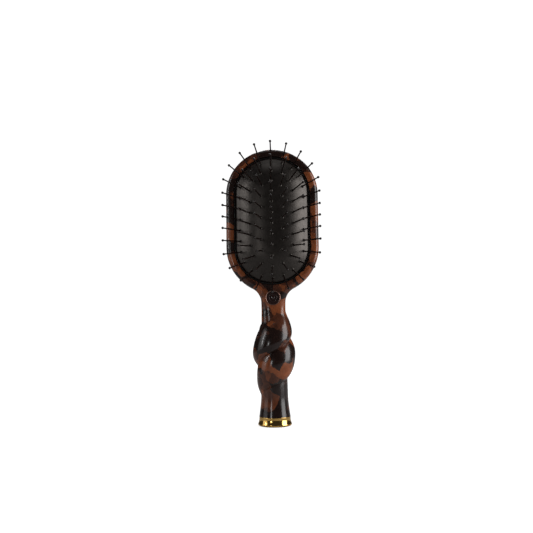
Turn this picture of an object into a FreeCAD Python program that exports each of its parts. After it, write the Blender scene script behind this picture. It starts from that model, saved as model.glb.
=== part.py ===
"""Vanity hairbrush: a domed rubber cushion with ball-tipped pins, set in a one-piece
moulding whose grip is twisted from two strands, closed by a plated foot cap.

Row frame: +Z runs up the brush from the foot, the pins face -Y, and the origin is the
centre of the flat foot. Lengths are millimetres, angles are degrees.
"""

import FreeCAD
import Part
import math
import os

import Sketcher

DOC = FreeCAD.newDocument("vanity_hairbrush")
SHEET = DOC.addObject("Spreadsheet::Sheet", "sizes")

# alias, value and what it sets; every size that can be chosen by itself is here once
SIZES = [
    ("total_length", 210.0, "foot to the top of the head"),
    ("pad_width", 58.2, "mouth of the pocket, across"),
    ("pad_length", 99.0, "mouth of the pocket, along"),
    ("rim_width", 6.2, "moulding outside the pocket"),
    ("front_depth", 7.0, "head's front face in front of the grip's axis"),
    ("back_depth", 8.0, "head's back behind the grip's axis"),
    ("front_round", 3.6, "rounding of the head's front edge"),
    ("back_round", 6.5, "rounding of the head's back edge"),
    ("neck_width", 18.6, "width of the neck"),
    ("neck_step", 0.2, "the grip starts this much inside the neck's outline"),
    ("shoulder_radius", 12.0, "hollow between head and neck"),
    ("ledge_depth", 5.2, "front face to the ledge that carries the cushion's lip"),
    ("ledge_width", 2.5, "width of that ledge"),
    ("chamber_depth", 4.8, "ledge to the floor of the air chamber"),
    ("ring_width", 1.25, "retaining ring, across its section"),
    ("ring_drop", 1.1, "front face to the top of the retaining ring"),
    ("seat_gap", 0.1, "clearance round the seated pieces"),
    ("lip_thickness", 1.4, "cushion's lip under the ring"),
    ("skin", 1.5, "thickness of the cushion's rubber"),
    ("dome_drop", 1.0, "front face to the level that the dome rises from"),
    ("dome_height", 10.9, "rise of the dome"),
    ("dome_shoulder", 0.8, "drop from that level to where the dome has turned into its skirt"),
    ("edge_to_pins", 5.2, "mouth of the pocket to the outer ring of pins"),
    ("pin_length", 20.5, "pin from the rubber to the end of its ball"),
    ("pin_radius", 0.55, "pin's shank"),
    ("pin_taper_start", 6.65, "root of the pin to where it begins to taper"),
    ("pin_neck_radius", 0.4675, "pin just under its ball"),
    ("ball_radius", 0.95, "ball on the pin's end"),
    ("pin_head_radius", 1.5, "flat head inside the cushion"),
    ("pin_head_height", 0.7, "thickness of that head"),
    ("pin_head_gap", 0.4, "rubber to that head"),
    ("pin_hole_gap", 0.03, "pin to its hole in the rubber"),
    ("lean_across", 37.0, "degrees that the outer pins lean sideways on the long sides"),
    ("lean_along", 36.5, "degrees that the outer pins lean along the brush at its ends"),
    ("grip_width", 32.2, "twisted grip at its widest"),
    ("neck_straight", 3.7, "shoulder's hollow down to where the neck goes over into the grip"),
    ("neck_run", 2.0, "from there down to where the strands leave the neck"),
    ("twist_bottom", 21.5, "height where they end in the waist"),
    ("waist_width", 20.2, "waist under the twist"),
    ("crease_share", 0.5, "how far the crease stands out, from waist to strand"),
    ("cap_height", 6.8, "foot cap"),
    ("cap_top_width", 23.4, "foot cap where it meets the grip"),
    ("cap_foot_width", 25.8, "foot cap at its widest"),
    ("cap_round", 1.4, "rounding of the cap's lower edge"),
    ("spigot_radius", 6.9, "spigot that centres the cap in the grip"),
    ("spigot_height", 4.8, "height of that spigot"),
    ("insert_radius", 4.0, "threaded insert, outside"),
    ("insert_length", 11.6, "threaded insert"),
    ("stud_radius", 2.5, "stud that pulls the cap on"),
    ("stud_bite", 6.6, "stud inside the cap"),
    ("stud_chamfer", 0.4, "chamfer on both its ends"),
    ("groove_depth", 0.5, "insert's two retaining grooves"),
    ("groove_width", 1.4, "width of each"),
    ("groove_start", 2.9, "insert's lower end to the first groove, and from that to the next"),
    ("medallion_radius", 5.7, "inlaid disc on the neck"),
    ("medallion_rise", 7.0, "foot of the neck up to its centre"),
    ("medallion_inlay", 1.3, "depth of its recess"),
    ("medallion_proud", 0.45, "its rim above the front face"),
    ("medallion_rim", 0.75, "width of its raised rim"),
    ("medallion_dish", 0.4, "field of the disc under its rim"),
    ("rim_edge", 0.3, "rounding of the rim's edges"),
    ("boss_radius", 1.2, "round boss in the middle of the disc"),
    ("boss_ring_radius", 3.0, "ring round the boss, outside"),
    ("boss_ring_width", 0.5, "width of that ring"),
    ("boss_rise", 0.3, "boss and ring above the field"),
]
for row, (alias, value, note) in enumerate(SIZES, start=1):
    SHEET.set(f"A{row}", note)
    SHEET.set(f"B{row}", str(value))
    SHEET.setAlias(f"B{row}", alias)
DOC.recompute()

PINS_PER_RING = {"outer": 28, "second": 22, "third": 16, "centre": 6}
SPLIT_RINGS = ("outer", "second")  # these are two groups, right and left
DOME_POWER = 2.5  # the dome falls from its middle by this power of the distance
# where its section is read, as shares of its half width; fewer let the curve stray between them
DOME_STATIONS = (0, 0.15, 0.3, 0.45, 0.6, 0.7, 0.8, 0.85, 0.9)
LEAN_ACROSS_POWER = 1.05  # inner pins lean less, by this power of their distance across
LEAN_ALONG_POWER = 2.3  # and by this power of their distance along the brush
OVERSHOOT = 1  # cutting tools reach this far past what they cut
WIDEST_SHARE = 0.512  # the twist's widest place, as a share of its length above its bottom
LEAST_CUT = 0.01  # a pocket that takes less than this volume has missed


def size(alias):
    """The value that the sheet holds under an alias."""
    return float(SHEET.get(alias))


def evaluate(expression):
    """The value of an expression on the sheet."""
    return float(SHEET.evalExpression(expression.replace("sizes.", "")))


# ---------------------------------------------------------------- expressions that several use
STRAIGHT_TO = "(sizes.pad_length - sizes.pad_width) / 2"
MIDDLE_TO = "(sizes.total_length - sizes.rim_width - sizes.pad_length / 2)"
MOUTH_TO = "sizes.pad_width / 2"
HEAD_TO = "(sizes.pad_width / 2 + sizes.rim_width)"
# the shoulder's hollow touches the head's round end and the neck
REACH_TO = f"({HEAD_TO} + sizes.shoulder_radius)"
ACROSS_TO = "(sizes.neck_width / 2 + sizes.shoulder_radius)"
HOLLOW_TO = f"({MIDDLE_TO} - {STRAIGHT_TO} - sqrt({REACH_TO}^2 - {ACROSS_TO}^2))"
NECK_TO = f"({HOLLOW_TO} - sizes.neck_straight)"
MEDALLION_TO = f"({NECK_TO} + sizes.medallion_rise)"

# ---------------------------------------------------------------- derived places
PAD_HALF = size("pad_width") / 2
STRAIGHT = size("pad_length") / 2 - PAD_HALF  # half the straight stretch of the pocket
PAD_Z = size("total_length") - size("rim_width") - size("pad_length") / 2
SKIRT_HALF = PAD_HALF - size("seat_gap") - size("ring_width") - size("seat_gap")
FRONT_Y = -size("front_depth")
DOME_Y = FRONT_Y + size("dome_drop")  # foot of the dome
LEDGE_Y = FRONT_Y + size("ledge_depth")
FLOOR_Y = LEDGE_Y + size("chamber_depth")
LIP_Y = LEDGE_Y - size("lip_thickness")
APEX_Y = DOME_Y - size("dome_height")
RING_STEP = (PAD_HALF - size("edge_to_pins")) / 3
HOLLOW_Z = evaluate(HOLLOW_TO)
NECK_Z = evaluate(NECK_TO)
MEDALLION_Z = evaluate(MEDALLION_TO)
TWIST_TOP = NECK_Z - size("neck_run")
WIDEST_Z = size("twist_bottom") + WIDEST_SHARE * (TWIST_TOP - size("twist_bottom"))


def dome_y(offset):
    """Depth of the dome's skin at a distance from its middle line."""
    return APEX_Y + size("dome_height") * (offset / SKIRT_HALF) ** DOME_POWER


def dome_normal(offset):
    """Outward normal of the dome there, as (away from the middle line, along y)."""
    slope = size("dome_height") / SKIRT_HALF * DOME_POWER
    slope *= (offset / SKIRT_HALF) ** (DOME_POWER - 1)
    norm = math.hypot(slope, 1)
    return slope / norm, -1 / norm


def pin_direction(x, z):
    """Direction of a pin that stands at (x, z) from the middle of the cushion."""
    across = abs(x) / (3 * RING_STEP)
    along = abs(z) / (3 * RING_STEP + STRAIGHT)
    sideways = math.sin(math.radians(size("lean_across"))) * across**LEAN_ACROSS_POWER
    upwards = math.sin(math.radians(size("lean_along"))) * along**LEAN_ALONG_POWER
    sideways = math.copysign(sideways, x)
    upwards = math.copysign(upwards, z)
    return FreeCAD.Vector(sideways, -math.sqrt(1 - sideways**2 - upwards**2), upwards)


# ---------------------------------------------------------------- sketch helpers
def origin_plane(body, role):
    return [f for f in body.Origin.OriginFeatures if f.Role == role][0]


def new_sketch(body, name, role, offset="0"):
    """A sketch on one of the body's origin planes, moved along its normal by an expression."""
    sketch = body.newObject("Sketcher::SketchObject", name)
    sketch.AttachmentSupport = [(origin_plane(body, role), "")]
    sketch.MapMode = "FlatFace"
    sketch.setExpression(".AttachmentOffset.Base.z", offset)
    return sketch


def constrain(sketch, kind, *args, name=None, to=None):
    """Adds a constraint; a sized one gets a name and an expression on the sheet."""
    index = sketch.addConstraint(Sketcher.Constraint(kind, *args))
    if name:
        sketch.renameConstraint(index, name)
        sketch.setExpression(f"Constraints.{name}", to)


def line(sketch, start, end):
    a = FreeCAD.Vector(*start, 0)
    b = FreeCAD.Vector(*end, 0)
    return sketch.addGeometry(Part.LineSegment(a, b), False)


def arc(sketch, centre, radius, first, last):
    """An arc counted anticlockwise from the first angle to the last, in degrees."""
    circle = Part.Circle(FreeCAD.Vector(*centre, 0), FreeCAD.Vector(0, 0, 1), radius)
    part = Part.ArcOfCircle(circle, math.radians(first), math.radians(last))
    return sketch.addGeometry(part, False)


def stadium(sketch, tag, half, half_to, straight_to, middle_to):
    """A closed stadium: two half circles joined by straight sides, along the sketch's y."""
    top = arc(sketch, (0, PAD_Z + STRAIGHT), half, 0, 180)
    low = arc(sketch, (0, PAD_Z - STRAIGHT), half, 180, 360)
    left = line(sketch, (-half, PAD_Z + STRAIGHT), (-half, PAD_Z - STRAIGHT))
    right = line(sketch, (half, PAD_Z - STRAIGHT), (half, PAD_Z + STRAIGHT))
    constrain(sketch, "Tangent", top, 2, left, 1)
    constrain(sketch, "Tangent", left, 2, low, 1)
    constrain(sketch, "Tangent", low, 2, right, 1)
    constrain(sketch, "Tangent", right, 2, top, 1)
    constrain(sketch, "PointOnObject", top, 3, -2)
    constrain(sketch, "PointOnObject", low, 3, -2)
    constrain(sketch, "Vertical", right)
    constrain(sketch, "Radius", top, half, name=f"{tag}_half", to=half_to)
    upper = PAD_Z + STRAIGHT
    lower = PAD_Z - STRAIGHT
    upper_to = f"{middle_to} + {straight_to}"
    lower_to = f"{middle_to} - {straight_to}"
    constrain(sketch, "DistanceY", -1, 1, top, 3, upper, name=f"{tag}_upper", to=upper_to)
    constrain(sketch, "DistanceY", -1, 1, low, 3, lower, name=f"{tag}_lower", to=lower_to)


def add_pad(body, name, sketch, length_to, reverse=False):
    pad = body.newObject("PartDesign::Pad", name)
    pad.Profile = sketch
    pad.setExpression("Length", length_to)
    pad.Reversed = reverse
    return pad


def add_pocket(body, name, sketch, length_to):
    before = body.Shape.Volume
    pocket = body.newObject("PartDesign::Pocket", name)
    pocket.Profile = sketch
    pocket.setExpression("Length", length_to)
    DOC.recompute()
    if body.Shape.Volume > before - LEAST_CUT:
        raise RuntimeError(f"{name} cuts nothing")
    return pocket


def new_body(name):
    body = DOC.addObject("PartDesign::Body", name)
    body.Label = name
    return body


# ---------------------------------------------------------------- head of the moulding
def head_outline(sketch):
    """The front view of head, shoulders and neck, closed across the neck."""
    head_half = PAD_HALF + size("rim_width")
    neck_half = size("neck_width") / 2
    hollow = size("shoulder_radius")
    upper = PAD_Z + STRAIGHT
    lower = PAD_Z - STRAIGHT
    across = neck_half + hollow
    hollow_z = HOLLOW_Z
    neck_z = NECK_Z
    turn = math.degrees(math.atan2(hollow_z - lower, across))

    top = arc(sketch, (0, upper), head_half, 0, 180)
    left = line(sketch, (-head_half, upper), (-head_half, lower))
    low_left = arc(sketch, (0, lower), head_half, 180, 180 - turn)
    hollow_left = arc(sketch, (-across, hollow_z), hollow, 0, -turn)
    neck_left = line(sketch, (-neck_half, hollow_z), (-neck_half, neck_z))
    foot = line(sketch, (-neck_half, neck_z), (neck_half, neck_z))
    neck_right = line(sketch, (neck_half, neck_z), (neck_half, hollow_z))
    hollow_right = arc(sketch, (across, hollow_z), hollow, 180 + turn, 180)
    low_right = arc(sketch, (0, lower), head_half, turn, 0)
    right = line(sketch, (head_half, lower), (head_half, upper))

    constrain(sketch, "Tangent", top, 2, left, 1)
    constrain(sketch, "Tangent", left, 2, low_left, 1)
    constrain(sketch, "Tangent", low_left, 2, hollow_left, 2)
    constrain(sketch, "Tangent", hollow_left, 1, neck_left, 1)
    constrain(sketch, "Coincident", neck_left, 2, foot, 1)
    constrain(sketch, "Coincident", foot, 2, neck_right, 1)
    constrain(sketch, "Tangent", neck_right, 2, hollow_right, 2)
    constrain(sketch, "Tangent", hollow_right, 1, low_right, 1)
    constrain(sketch, "Tangent", low_right, 2, right, 1)
    constrain(sketch, "Tangent", right, 2, top, 1)
    for side in (left, right, neck_left, neck_right):
        constrain(sketch, "Vertical", side)
    constrain(sketch, "PointOnObject", top, 3, -2)
    constrain(sketch, "PointOnObject", low_left, 3, -2)
    constrain(sketch, "Coincident", low_left, 3, low_right, 3)
    constrain(sketch, "Symmetric", foot, 1, foot, 2, -2)
    constrain(sketch, "Equal", hollow_left, hollow_right)
    constrain(sketch, "Radius", top, head_half, name="head_half", to=HEAD_TO)
    constrain(sketch, "Radius", hollow_left, hollow, name="hollow", to="sizes.shoulder_radius")
    neck = 2 * neck_half
    constrain(sketch, "DistanceX", foot, 1, foot, 2, neck, name="neck", to="sizes.neck_width")
    upper_to = f"{MIDDLE_TO} + {STRAIGHT_TO}"
    lower_to = f"{MIDDLE_TO} - {STRAIGHT_TO}"
    constrain(sketch, "DistanceY", -1, 1, top, 3, upper, name="upper", to=upper_to)
    constrain(sketch, "DistanceY", -1, 1, low_left, 3, lower, name="lower", to=lower_to)
    constrain(sketch, "DistanceY", -1, 1, foot, 1, neck_z, name="foot", to=NECK_TO)


def edges_at_depth(shape, depth, above):
    """Names of the edges that lie at one depth y, apart from those at or under a height."""
    names = []
    for number, edge in enumerate(shape.Edges, start=1):
        box = edge.BoundBox
        flat = abs(box.YMin - depth) < 1e-4 and abs(box.YMax - depth) < 1e-4
        if flat and box.ZMax > above + 1e-3:
            names.append(f"Edge{number}")
    return names


def add_fillet(body, name, base, edges, radius_to):
    fillet = body.newObject("PartDesign::Fillet", name)
    fillet.Base = (base, edges)
    fillet.setExpression("Radius", radius_to)
    DOC.recompute()
    return fillet


def build_head():
    body = new_body("head_blank")
    outline = new_sketch(body, "head_outline", "XZ_Plane", "sizes.front_depth")
    head_outline(outline)
    block = add_pad(body, "head_block", outline, "sizes.front_depth + sizes.back_depth", True)
    DOC.recompute()
    front = edges_at_depth(block.Shape, FRONT_Y, NECK_Z)
    rounded = add_fillet(body, "front_rounding", block, front, "sizes.front_round")
    back = edges_at_depth(rounded.Shape, size("back_depth"), NECK_Z)
    add_fillet(body, "back_rounding", rounded, back, "sizes.back_round")

    mouth = new_sketch(body, "pocket_mouth", "XZ_Plane", "sizes.front_depth")
    stadium(mouth, "mouth", PAD_HALF, MOUTH_TO, STRAIGHT_TO, MIDDLE_TO)
    add_pocket(body, "cushion_seat", mouth, "sizes.ledge_depth")
    chamber = new_sketch(body, "chamber_outline", "XZ_Plane", "sizes.front_depth")
    chamber_to = "sizes.pad_width / 2 - sizes.ledge_width"
    chamber_half = PAD_HALF - size("ledge_width")
    stadium(chamber, "chamber", chamber_half, chamber_to, STRAIGHT_TO, MIDDLE_TO)
    add_pocket(body, "air_chamber", chamber, "sizes.ledge_depth + sizes.chamber_depth")

    recess = new_sketch(body, "medallion_recess", "XZ_Plane", "sizes.front_depth")
    disc_outline(recess, "sizes.medallion_radius + sizes.seat_gap")
    add_pocket(body, "medallion_seat", recess, "sizes.medallion_inlay")
    return body


def disc_outline(sketch, radius_to, tag="outer"):
    """A circle round the medallion's centre."""
    radius = evaluate(radius_to)
    centre = FreeCAD.Vector(0, MEDALLION_Z, 0)
    circle = Part.Circle(centre, FreeCAD.Vector(0, 0, 1), radius)
    ring = sketch.addGeometry(circle, False)
    constrain(sketch, "PointOnObject", ring, 3, -2)
    constrain(sketch, "Radius", ring, radius, name=f"{tag}_radius", to=radius_to)
    place = ("DistanceY", -1, 1, ring, 3, MEDALLION_Z)
    constrain(sketch, *place, name=f"{tag}_height", to=MEDALLION_TO)


# ---------------------------------------------------------------- twisted grip
# Each crease winds down the grip: share of the twist's length from its top, and azimuth
# (0 at +X, 90 at the front, 180 at -X).
FIRST_CREASE = [(-0.2, -100), (0.0, 0), (0.2, 165), (0.5, 270), (0.76, 360), (1.0, 540), (1.3, 640)]
SECOND_CREASE = [(-0.2, 120), (0.0, 180), (0.15, 260), (0.33, 360), (0.65, 540), (1.0, 690), (1.3, 800)]
# Where each strand swells: from and to, as shares of the twist above its bottom, and how fully.
SWELLING = {1: (0.2, 1.0, 1.0), 2: (0.0, 0.84, 0.85)}
CREST = 0.4  # a strand's crest, as a share of its width from the crease below it
STEEP_POWER = 2.6  # how fast the strand falls from its crest to the crease below
SLACK_POWER = 2.1  # and to the crease above
FLARE_POWER = 1.5  # the foot of the grip widens by this power
NECK_SQUARENESS = 0.6  # what the neck adds to the round waist's power of 2
GRIP_SPANS = 27  # loft spans from the cap to the neck
STRAND_STEPS = [0, 0.08, 0.18, 0.3, 0.44, 0.6, 0.76, 0.9, 1]  # points across a strand


def along(path, share):
    """Reads a crease's path between its points, on a smooth monotone curve."""
    slopes = []
    for (a, va), (b, vb) in zip(path, path[1:]):
        slopes.append((vb - va) / (b - a))
    rates = [slopes[0]]
    for left, right in zip(slopes, slopes[1:]):
        rates.append(2 * left * right / (left + right))
    rates.append(slopes[-1])
    for i, ((a, va), (b, vb)) in enumerate(zip(path, path[1:])):
        if share <= b or i == len(path) - 2:
            width = b - a
            s = (share - a) / width
            curve = (2 * s**3 - 3 * s**2 + 1) * va + (s**3 - 2 * s**2 + s) * width * rates[i]
            curve += (3 * s**2 - 2 * s**3) * vb + (s**3 - s**2) * width * rates[i + 1]
            return curve


def swell(height, low, high, power):
    """0 at and past both ends of a strand's swelling, 1 at the widest height."""
    if height >= WIDEST_Z:
        share = (high - height) / (high - WIDEST_Z)
    else:
        share = (height - low) / (WIDEST_Z - low)
    return math.sin(math.pi / 2 * min(max(share, 0), 1)) ** power


def core_radius(azimuth, height):
    """The plain grip without strands: an oval neck, a round waist and a flared foot."""
    bottom = size("twist_bottom")
    share = min(max((height - bottom) / (TWIST_TOP - bottom), 0), 1)
    waist = size("waist_width") / 2
    flare = size("cap_top_width") / 2 - waist
    if height < bottom:
        return waist + flare * ((bottom - height) / (bottom - size("cap_height"))) ** FLARE_POWER
    neck_half = size("neck_width") / 2 - size("neck_step")
    neck_depth = (size("front_depth") + size("back_depth")) / 2 - size("neck_step")
    half_width = waist + (neck_half - waist) * share
    half_depth = waist + (neck_depth - waist) * share**2
    power = 2 + NECK_SQUARENESS * share**3
    across = abs(math.cos(azimuth)) / half_width
    deep = abs(math.sin(azimuth)) / half_depth
    return (across**power + deep**power) ** (-1 / power)


def crown_of_strand(position):
    """0 at both creases and 1 on the crest, steep from the lower crease, 0, and slack to 1."""
    if position < CREST:
        return 1 - (1 - position / CREST) ** STEEP_POWER
    return 1 - ((position - CREST) / (1 - CREST)) ** SLACK_POWER


def strand_point(azimuth, height, position, strand):
    """A point of a strand; position runs across it, from the crease below it, 0, to 1."""
    bottom = size("twist_bottom")
    length = TWIST_TOP - bottom
    amount = {}
    for number, (low, high, fullness) in SWELLING.items():
        amount[number] = swell(height, bottom + low * length, bottom + high * length, fullness)
    core = core_radius(azimuth, height)
    full = size("grip_width") / 2
    strand_radius = core + (full - core) * amount[strand]
    crease = core + size("crease_share") * (full - core) * min(amount.values())
    radius = crease + (strand_radius - crease) * crown_of_strand(position)
    middle = (size("back_depth") - size("front_depth")) / 2
    lift = middle * min(max((height - WIDEST_Z) / (TWIST_TOP - WIDEST_Z), 0), 1)
    x = radius * math.cos(azimuth)
    return FreeCAD.Vector(x, lift - radius * math.sin(azimuth), height)


def grip_section(height):
    """One level section of the grip: two spline edges that meet at the creases."""
    share = (TWIST_TOP - height) / (TWIST_TOP - size("twist_bottom"))
    first = math.radians(along(FIRST_CREASE, share))
    second = math.radians(along(SECOND_CREASE, share))
    while second < first:
        second += 2 * math.pi
    while second - first >= 2 * math.pi:
        second -= 2 * math.pi
    spans = [(first, second, 2), (second, first + 2 * math.pi, 1)]
    edges = []
    for low, high, strand in spans:
        points = []
        for step in STRAND_STEPS:
            azimuth = low + (high - low) * step
            points.append(strand_point(azimuth, height, step, strand))
        curve = Part.BSplineCurve()
        curve.interpolate(Points=points, Parameters=STRAND_STEPS)
        edges.append(curve.toShape())
    return Part.Wire(edges)


def build_grip():
    """The lofted grip, with the seats that the cap's spigot and the insert go into."""
    foot = size("cap_height")
    rise = (NECK_Z - foot) / GRIP_SPANS
    heights = [foot + rise * i for i in range(GRIP_SPANS + 1)]
    grip = Part.makeLoft([grip_section(z) for z in heights], True, False)
    blank = DOC.addObject("Part::Feature", "grip_blank")
    blank.Shape = grip
    return blank


# ---------------------------------------------------------------- moulding as one piece
def cylinder(name, radius_to, height_to, z_to):
    tool = DOC.addObject("Part::Cylinder", name)
    tool.setExpression("Radius", radius_to)
    tool.setExpression("Height", height_to)
    tool.setExpression(".Placement.Base.z", z_to)
    return tool


def build_moulding():
    head = build_head()
    grip = build_grip()
    joined = DOC.addObject("Part::Fuse", "moulding_blank")
    joined.Base = head
    joined.Tool = grip
    gap = "sizes.seat_gap"
    spigot = cylinder(
        "spigot_seat",
        f"sizes.spigot_radius + {gap}",
        f"sizes.spigot_height + {gap} + {OVERSHOOT}",
        f"sizes.cap_height - {OVERSHOOT}",
    )
    bore = cylinder(
        "insert_bore",
        "sizes.insert_radius",
        f"sizes.insert_length + 2 * {gap} + {OVERSHOOT}",
        f"sizes.cap_height + sizes.spigot_height + {gap} - {OVERSHOOT}",
    )
    tools = DOC.addObject("Part::MultiFuse", "seat_tools")
    tools.Shapes = [spigot, bore]
    moulding = DOC.addObject("Part::Cut", "handle_body")
    moulding.Base = joined
    moulding.Tool = tools
    return moulding


# ---------------------------------------------------------------- cushion
def half_section():
    """Half the cushion's section as a face in the XY plane, its middle line on the Y axis."""
    skin = size("skin")
    lip_half = PAD_HALF - size("seat_gap")
    inner_half = SKIRT_HALF - skin
    turned_y = DOME_Y + size("dome_shoulder")
    at = FreeCAD.Vector
    outer = []
    inner = []
    for share in DOME_STATIONS:
        offset = SKIRT_HALF * share
        away, along_y = dome_normal(offset)
        outer.append(at(offset, dome_y(offset), 0))
        inner.append(at(offset - away * skin, dome_y(offset) - along_y * skin, 0))
    outer.append(at(SKIRT_HALF, turned_y, 0))
    inner.append(at(inner_half, turned_y, 0))
    ends = {"InitialTangent": at(1, 0, 0), "FinalTangent": at(0, 1, 0)}
    skins = []
    for points in (outer, inner):
        curve = Part.BSplineCurve()
        curve.interpolate(points, **ends)
        skins.append(curve.toShape())
    corners = [
        outer[-1],
        at(SKIRT_HALF, LIP_Y, 0),
        at(lip_half, LIP_Y, 0),
        at(lip_half, LEDGE_Y, 0),
        at(inner_half, LEDGE_Y, 0),
        inner[-1],
    ]
    sides = [Part.LineSegment(a, b).toShape() for a, b in zip(corners, corners[1:])]
    middle = Part.LineSegment(inner[0], outer[0]).toShape()
    return Part.Face(Part.Wire(Part.sortEdges([*skins, *sides, middle])[0]))


def build_skin():
    """Straight middle and two turned ends; the section's faces meet without a step."""
    face = half_section()
    up = FreeCAD.Vector(0, 0, 1)
    right = face.copy()
    right.translate(FreeCAD.Vector(0, 0, PAD_Z - STRAIGHT))
    straight_right = right.extrude(up * (2 * STRAIGHT))
    straight_left = straight_right.mirror(FreeCAD.Vector(0, 0, 0), FreeCAD.Vector(1, 0, 0))
    turned = []
    for middle, sweep in ((PAD_Z + STRAIGHT, -180), (PAD_Z - STRAIGHT, 180)):
        half = face.copy()
        centre = FreeCAD.Vector(0, 0, middle)
        half.translate(centre)
        turned.append(half.revolve(centre, FreeCAD.Vector(0, 1, 0), sweep))
    return straight_right.fuse([straight_left, *turned]).removeSplitter()


def pin_places(ring):
    """Where each pin of a ring stands: root on the dome's skin and direction outwards.

    A ring starts at its topmost pin and runs clockwise as the pins are seen.
    """
    names = list(PINS_PER_RING)
    offset = RING_STEP * (len(names) - 1 - names.index(ring))
    count = PINS_PER_RING[ring]
    side = 2 * STRAIGHT
    bend = math.pi * offset
    around = 2 * side + 2 * bend
    places = []
    for i in range(count):
        if offset == 0:
            x, z = 0.0, STRAIGHT * (1 - 2 * i / (count - 1))
        else:
            run = (around * i / count + bend / 2) % around
            if run < bend:
                turn = math.pi - run / offset
                x, z = offset * math.cos(turn), STRAIGHT + offset * math.sin(turn)
            elif run < bend + side:
                x, z = offset, STRAIGHT - (run - bend)
            elif run < 2 * bend + side:
                turn = -(run - bend - side) / offset
                x, z = offset * math.cos(turn), -STRAIGHT + offset * math.sin(turn)
            else:
                x, z = -offset, -STRAIGHT + run - 2 * bend - side
        root = FreeCAD.Vector(x, dome_y(offset), PAD_Z + z)
        places.append((root, pin_direction(x, z)))
    return places


def build_cushion():
    """The rubber cushion, with a hole through its skin for every pin."""
    drills = []
    radius = size("pin_radius") + size("pin_hole_gap")
    for ring in PINS_PER_RING:
        for root, direction in pin_places(ring):
            start = root - direction * (2 * size("skin") + OVERSHOOT)
            length = 3 * size("skin") + 2 * OVERSHOOT
            drills.append(Part.makeCylinder(radius, length, start, direction))
    cushion = DOC.addObject("Part::Feature", "cushion_pad")
    cushion.Shape = build_skin().cut(Part.makeCompound(drills))
    return cushion


def build_ring():
    """The black ring that presses the cushion's lip on to its ledge."""
    body = new_body("pad_ring")
    outline = new_sketch(body, "ring_outline", "XZ_Plane", "sizes.front_depth - sizes.ring_drop")
    gap = "sizes.seat_gap"
    outer_to = f"{MOUTH_TO} - {gap}"
    inner_to = f"{MOUTH_TO} - {gap} - sizes.ring_width"
    outer = PAD_HALF - size("seat_gap")
    inner = outer - size("ring_width")
    stadium(outline, "outer", outer, outer_to, STRAIGHT_TO, MIDDLE_TO)
    stadium(outline, "inner", inner, inner_to, STRAIGHT_TO, MIDDLE_TO)
    depth_to = "sizes.ledge_depth - sizes.ring_drop - sizes.lip_thickness"
    add_pad(body, "ring_wall", outline, depth_to, True)
    return body


# ---------------------------------------------------------------- pins
def pin_shape():
    """One pin along +Z from its root on the skin: flat head inside, ball at the end."""
    shank = size("pin_radius")
    ball = size("ball_radius")
    under = -(size("skin") + size("pin_head_gap"))
    length = size("pin_length")
    neck = size("pin_neck_radius")
    head_low = under - size("pin_head_height")
    join = length - ball - math.sqrt(ball**2 - neck**2)
    at = FreeCAD.Vector
    points = [
        at(0, 0, head_low),
        at(size("pin_head_radius"), 0, head_low),
        at(size("pin_head_radius"), 0, under),
        at(shank, 0, under),
        at(shank, 0, size("pin_taper_start")),
        at(neck, 0, join),
    ]
    edges = [Part.LineSegment(a, b).toShape() for a, b in zip(points, points[1:])]
    side = at(ball, 0, length - ball)
    edges.append(Part.Arc(points[-1], side, at(0, 0, length)).toShape())
    edges.append(Part.LineSegment(at(0, 0, length), points[0]).toShape())
    face = Part.Face(Part.Wire(edges))
    return face.revolve(at(0, 0, 0), at(0, 0, 1), 360)


def build_pins(name, places):
    pin = pin_shape()
    pins = []
    for root, direction in places:
        turn = FreeCAD.Rotation(FreeCAD.Vector(0, 0, 1), direction)
        copy = pin.copy()
        copy.Placement = FreeCAD.Placement(root, turn)
        pins.append(copy)
    node = DOC.addObject("Part::Feature", name)
    node.Shape = Part.makeCompound(pins)
    return node


def build_rings():
    """A node for each ring of pins; the two outer rings are halved, right and left."""
    nodes = []
    for ring, count in PINS_PER_RING.items():
        places = pin_places(ring)
        if ring in SPLIT_RINGS:
            nodes.append(build_pins(f"pins_{ring}_right", places[: count // 2]))
            nodes.append(build_pins(f"pins_{ring}_left", places[count // 2 :]))
        else:
            nodes.append(build_pins(f"pins_{ring}", places))
    return nodes


# ---------------------------------------------------------------- medallion
def build_disc():
    """The medallion's plain disc, with a round boss in a ring raised on it."""
    body = new_body("medallion_disc")
    field_to = "sizes.front_depth + sizes.medallion_proud - sizes.medallion_dish"
    inside_to = "sizes.medallion_radius - sizes.medallion_rim - sizes.seat_gap / 2"
    blank = new_sketch(body, "field_outline", "XZ_Plane", field_to)
    disc_outline(blank, inside_to)
    thick_to = "sizes.medallion_proud - sizes.medallion_dish + sizes.medallion_inlay"
    add_pad(body, "field", blank, thick_to, True)
    raised = new_sketch(body, "raised_outline", "XZ_Plane", field_to)
    disc_outline(raised, "sizes.boss_radius")
    disc_outline(raised, "sizes.boss_ring_radius", "ring")
    disc_outline(raised, "sizes.boss_ring_radius - sizes.boss_ring_width", "ring_inside")
    add_pad(body, "raised_work", raised, "sizes.boss_rise")
    return body


def build_disc_rim():
    """The thin metal rim pressed in round the disc."""
    body = new_body("medallion_rim")
    face_to = "sizes.front_depth + sizes.medallion_proud"
    blank = new_sketch(body, "rim_outline", "XZ_Plane", face_to)
    disc_outline(blank, "sizes.medallion_radius")
    disc_outline(blank, "sizes.medallion_radius - sizes.medallion_rim", "inner")
    thick_to = "sizes.medallion_proud + sizes.medallion_inlay"
    rim = add_pad(body, "rim", blank, thick_to, True)
    DOC.recompute()
    edges = edges_at_depth(rim.Shape, FRONT_Y - size("medallion_proud"), 0)
    add_fillet(body, "rim_rounding", rim, edges, "sizes.rim_edge")
    return body


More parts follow.
